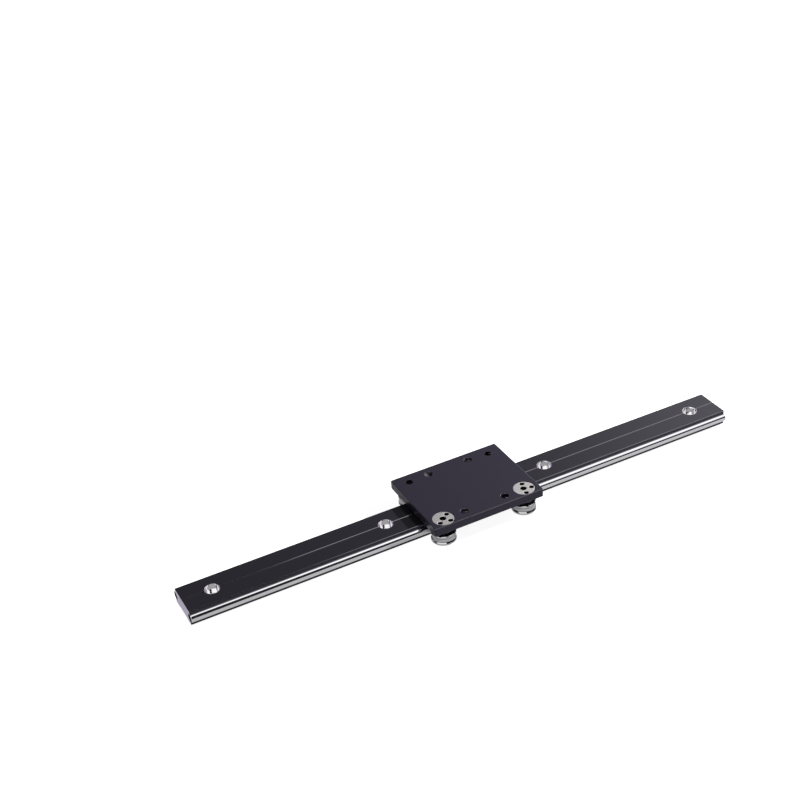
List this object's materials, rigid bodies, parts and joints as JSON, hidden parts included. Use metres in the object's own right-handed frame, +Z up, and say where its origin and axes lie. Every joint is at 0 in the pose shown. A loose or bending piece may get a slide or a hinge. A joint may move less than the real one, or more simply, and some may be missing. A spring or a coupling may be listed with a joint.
{
  "type": "roller linear guide rail",
  "caption": "Dual-shaft roller linear guide: a black aluminium rail with steel shafts let into its sides and a carriage plate that rolls on grooved rollers, some on eccentric bushes.",
  "frame": {"origin": "middle of the rail's underside, the face that is screwed down", "axes": "+X along the rail, +Y across it towards the rollers without eccentric bushes, +Z up out of the carriage plate's top"},
  "size_m": [0.4, 0.0627, 0.018],
  "materials": {
    "rail_black": "black anodised, satin",
    "plate_black": "black anodised, satin",
    "shaft_steel": "ground and polished, hard chromed",
    "roller_steel": "ground bearing steel",
    "bush_steel": "turned steel, light warm grey",
    "screw_steel": "dark steel",
    "spacer_steel": "turned steel",
    "cage_brass": "stamped brass",
    "shield_steel": "pressed sheet steel"
  },
  "bodies": {
    "rail": {"rail_extrusion": "rail_black", "shaft_front": "shaft_steel", "shaft_rear": "shaft_steel"},
    "carriage": {"carriage_plate": "plate_black", "inner_ring_rear_left": "roller_steel", "roller_spacer_rear_left": "spacer_steel", "roller_screw_rear_left": "screw_steel", "inner_ring_rear_right": "roller_steel", "roller_spacer_rear_right": "spacer_steel", "roller_screw_rear_right": "screw_steel"},
    "bush_left": {"eccentric_bush_left": "bush_steel", "inner_ring_front_left": "roller_steel", "roller_spacer_front_left": "spacer_steel", "roller_screw_front_left": "screw_steel"},
    "bush_right": {"eccentric_bush_right": "bush_steel", "inner_ring_front_right": "roller_steel", "roller_spacer_front_right": "spacer_steel", "roller_screw_front_right": "screw_steel"},
    "roller_front_left": {"roller_ring_front_left": "roller_steel", "bearing_balls_front_left": "roller_steel", "ball_cage_front_left": "cage_brass", "bearing_shield_top_front_left": "shield_steel", "bearing_shield_bottom_front_left": "shield_steel"},
    "roller_front_right": {"roller_ring_front_right": "roller_steel", "bearing_balls_front_right": "roller_steel", "ball_cage_front_right": "cage_brass", "bearing_shield_top_front_right": "shield_steel", "bearing_shield_bottom_front_right": "shield_steel"},
    "roller_rear_left": {"roller_ring_rear_left": "roller_steel", "bearing_balls_rear_left": "roller_steel", "ball_cage_rear_left": "cage_brass", "bearing_shield_top_rear_left": "shield_steel", "bearing_shield_bottom_rear_left": "shield_steel"},
    "roller_rear_right": {"roller_ring_rear_right": "roller_steel", "bearing_balls_rear_right": "roller_steel", "ball_cage_rear_right": "cage_brass", "bearing_shield_top_rear_right": "shield_steel", "bearing_shield_bottom_rear_right": "shield_steel"}
  },
  "joints": [
    {"name": "carriage_slide", "type": "slide", "parent": "rail", "child": "carriage", "axis": [1, 0, 0], "range_m": [-0.16, 0.16]},
    {"name": "bush_left_turn", "type": "hinge", "parent": "carriage", "child": "bush_left", "pos_m": [-0.03, -0.02337, 0.018], "axis": [0, 0, 1], "range_deg": [0, 142]},
    {"name": "bush_right_turn", "type": "hinge", "parent": "carriage", "child": "bush_right", "pos_m": [0.03, -0.02337, 0.018], "axis": [0, 0, 1], "range_deg": [-37, 105]},
    {"name": "roller_front_left_spin", "type": "hinge", "parent": "bush_left", "child": "roller_front_left", "pos_m": [-0.03031, -0.02298, 0.00525], "axis": [0, 0, 1], "continuous": true},
    {"name": "roller_front_right_spin", "type": "hinge", "parent": "bush_right", "child": "roller_front_right", "pos_m": [0.02952, -0.02324, 0.00525], "axis": [0, 0, 1], "continuous": true},
    {"name": "roller_rear_left_spin", "type": "hinge", "parent": "carriage", "child": "roller_rear_left", "pos_m": [-0.03, 0.02298, 0.00525], "axis": [0, 0, 1], "continuous": true},
    {"name": "roller_rear_right_spin", "type": "hinge", "parent": "carriage", "child": "roller_rear_right", "pos_m": [0.03, 0.02298, 0.00525], "axis": [0, 0, 1], "continuous": true}
  ],
  "couplings": [
    {"joint": "roller_front_left_spin", "follows": "carriage_slide", "rad_per_m": 135.14},
    {"joint": "roller_front_right_spin", "follows": "carriage_slide", "rad_per_m": 135.14},
    {"joint": "roller_rear_left_spin", "follows": "carriage_slide", "rad_per_m": -135.14},
    {"joint": "roller_rear_right_spin", "follows": "carriage_slide", "rad_per_m": -135.14}
  ]
}
